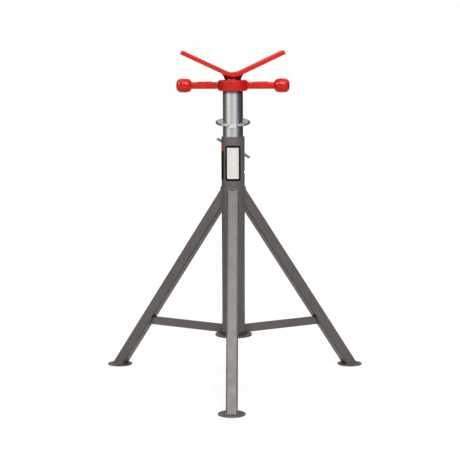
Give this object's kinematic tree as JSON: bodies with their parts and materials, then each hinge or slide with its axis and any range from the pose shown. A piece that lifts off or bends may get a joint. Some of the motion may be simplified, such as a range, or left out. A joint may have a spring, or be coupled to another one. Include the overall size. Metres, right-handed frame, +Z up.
{
  "type": "pipe jack stand",
  "caption": "Welded tripod pipe stand with a sliding tube, clamp screw and lock ring, and a jack screw with spin handle under a swivelling V head.",
  "frame": {"origin": "on the floor, under the axis of the post", "axes": "+Z up along the post, the front leg towards -Y, +X to the right seen from the front"},
  "size_m": [0.6194, 0.5442, 0.7602],
  "materials": {
    "grey_paint": "satin powder coat, warm grey",
    "galvanised": "drawn tube, galvanised",
    "bright_zinc": "bright zinc plate",
    "screw_steel": "oiled machined thread",
    "red_casting": "satin red paint over a rough casting",
    "red_plate": "satin red powder coat",
    "label_face": "satin silver film with a black border",
    "label_black": "gloss black film with an orange band",
    "brass": "turned",
    "black_steel": "black oxide"
  },
  "bodies": {
    "frame": {"post": "grey_paint", "post_flange": "grey_paint", "leg_front": "grey_paint", "leg_left": "grey_paint", "leg_right": "grey_paint", "foot_front": "grey_paint", "foot_left": "grey_paint", "foot_right": "grey_paint", "brace_front": "grey_paint", "brace_left": "grey_paint", "brace_right": "grey_paint", "clamp_nut": "grey_paint", "guide_bolt": "bright_zinc", "front_label": "label_face", "side_label": "label_black"},
    "clamp_pad": {"clamp_pad": "brass"},
    "clamp_screw": {"clamp_screw": "bright_zinc", "clamp_bar": "bright_zinc"},
    "sliding_tube": {"inner_tube": "galvanised", "thrust_washer": "bright_zinc"},
    "lock_ring": {"lock_ring": "bright_zinc"},
    "spin_handle": {"handle": "red_casting"},
    "jack_screw": {"jack_screw": "screw_steel", "stop_washer": "bright_zinc", "stop_bolt": "bright_zinc", "head_lock_screw": "black_steel"},
    "head": {"head_stem": "red_plate", "v_plate": "red_plate"}
  },
  "joints": [
    {"name": "height_slide", "type": "slide", "parent": "frame", "child": "sliding_tube", "axis": [0, 0, 1], "range_m": [0, 0.35]},
    {"name": "ring_slide", "type": "slide", "parent": "sliding_tube", "child": "lock_ring", "axis": [0, 0, 1], "range_m": [-0.016, 0.056]},
    {"name": "handle_spin", "type": "hinge", "parent": "sliding_tube", "child": "spin_handle", "pos_m": [0, 0, 0.68125], "axis": [0, 0, -1], "range_deg": [0, 14739]},
    {"name": "screw_lift", "type": "slide", "parent": "sliding_tube", "child": "jack_screw", "axis": [0, 0, 1], "range_m": [0, 0.26]},
    {"name": "head_swivel", "type": "hinge", "parent": "jack_screw", "child": "head", "pos_m": [0, 0, 0.696], "axis": [0, 0, 1], "continuous": true},
    {"name": "clamp_feed", "type": "slide", "parent": "frame", "child": "clamp_pad", "axis": [0, 1, 0], "range_m": [0, 0.007]},
    {"name": "clamp_turn", "type": "hinge", "parent": "clamp_pad", "child": "clamp_screw", "pos_m": [0, 0.058, 0.535], "axis": [0, 1, 0], "range_deg": [0, 1439]}
  ],
  "couplings": [
    {"joint": "screw_lift", "follows": "handle_spin", "m_per_rad": 0.0010106},
    {"joint": "clamp_feed", "follows": "clamp_turn", "m_per_rad": 0.00027852}
  ]
}
